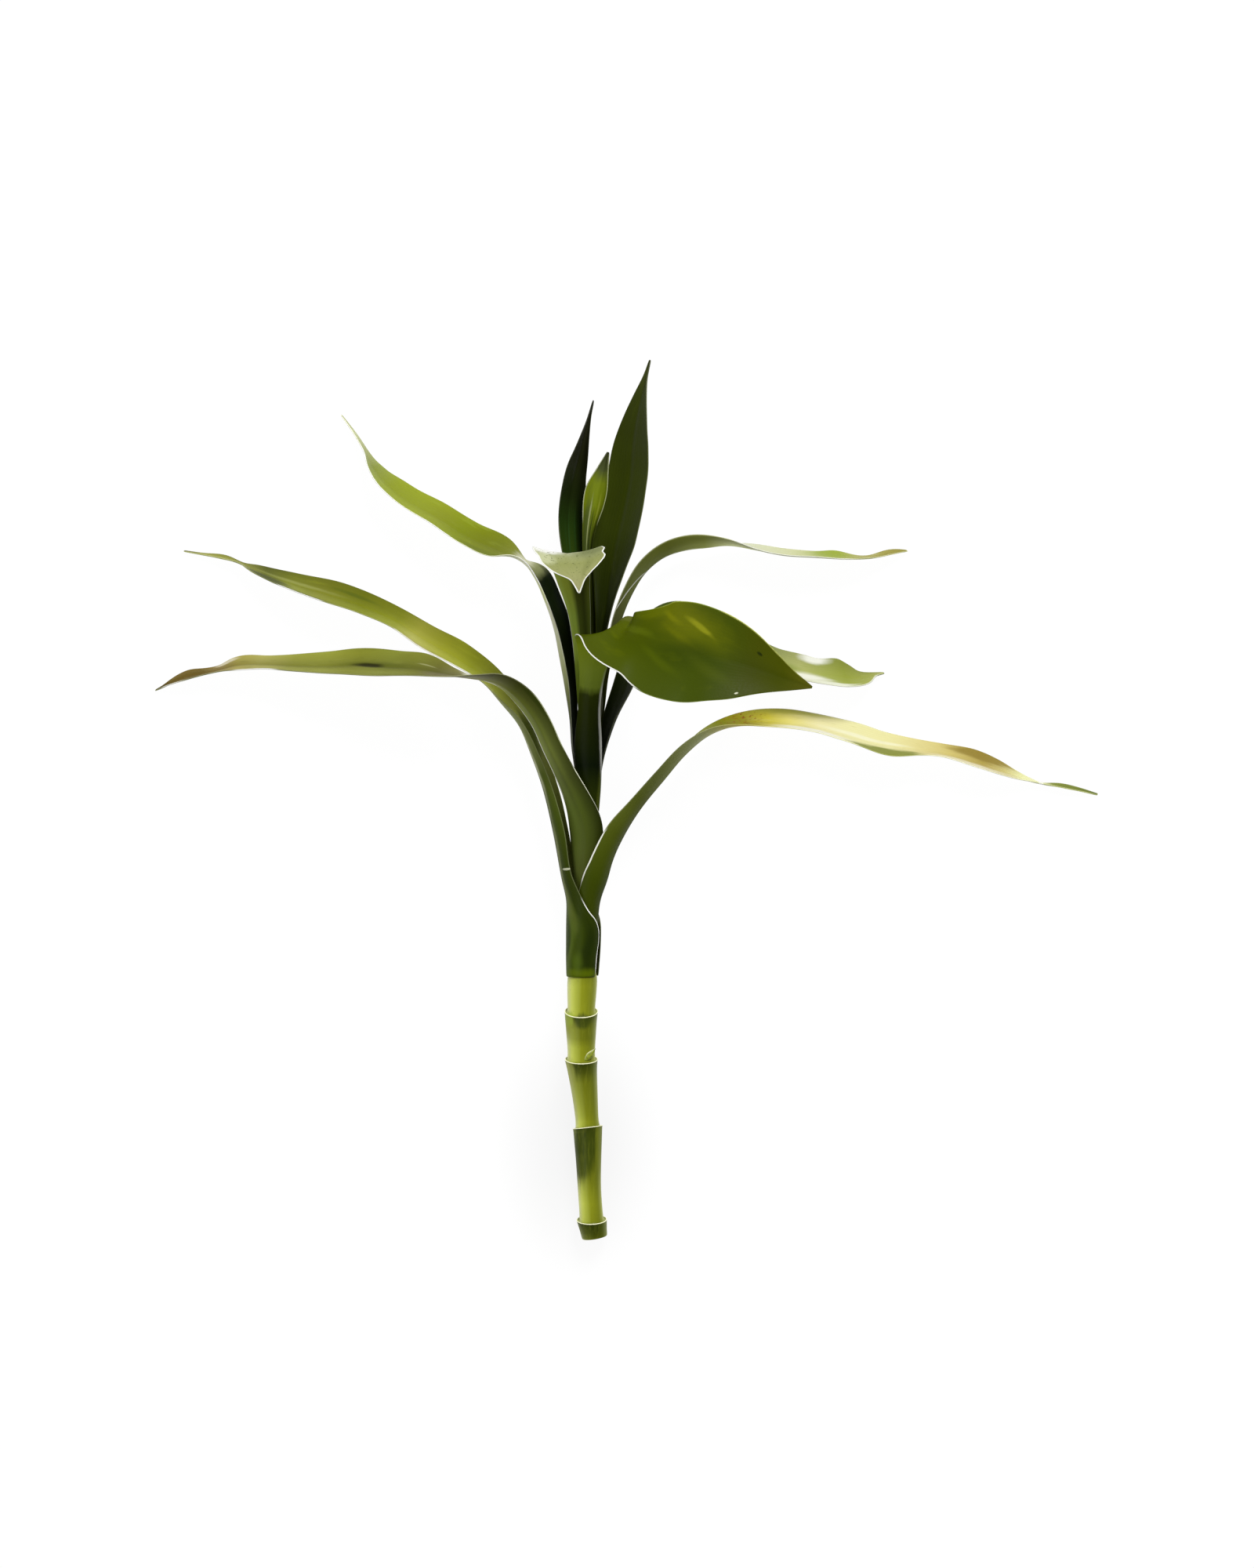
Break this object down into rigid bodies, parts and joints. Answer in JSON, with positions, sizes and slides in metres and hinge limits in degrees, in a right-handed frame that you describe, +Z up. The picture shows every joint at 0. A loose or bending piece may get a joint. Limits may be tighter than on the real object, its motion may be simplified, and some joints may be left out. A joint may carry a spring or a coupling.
{
  "type": "lucky bamboo cutting",
  "caption": "Cut lucky bamboo cane with ringed nodes and a leafy crown of long arching strap leaves, lying on its back on a flat surface.",
  "frame": {"origin": "on the surface that the plant lies on, under the middle of its length and width", "axes": "+X to the right leaf tips, +Y from the cut foot to the crown, +Z up from the surface; the plant lies on its back with its front turned up"},
  "size_m": [0.3382, 0.3145, 0.0708],
  "materials": {
    "cane": "smooth green living cane with a soft gloss",
    "green_leaf": "living leaf, satin, paler along the margins",
    "broad_leaf": "living leaf, satin, warm green with yellow patches",
    "pale_leaf": "living leaf, satin, thin and pale grey-green",
    "yellow_leaf": "yellowing leaf, satin, with brown specks",
    "dark_leaf": "living leaf, satin, dark olive",
    "young_leaf": "young leaf, satin, bright yellow-green"
  },
  "bodies": {
    "root": {"cane": "cane", "leaf_left_outer": "green_leaf", "leaf_left_lower": "green_leaf", "leaf_left_upper": "green_leaf", "leaf_right_lower": "yellow_leaf", "leaf_right_middle": "pale_leaf", "leaf_right_upper": "pale_leaf", "leaf_front_large": "broad_leaf", "leaf_front_flap": "pale_leaf", "leaf_top_tall": "dark_leaf", "leaf_top_dark": "dark_leaf", "leaf_top_young": "young_leaf"}
  },
  "joints": []
}
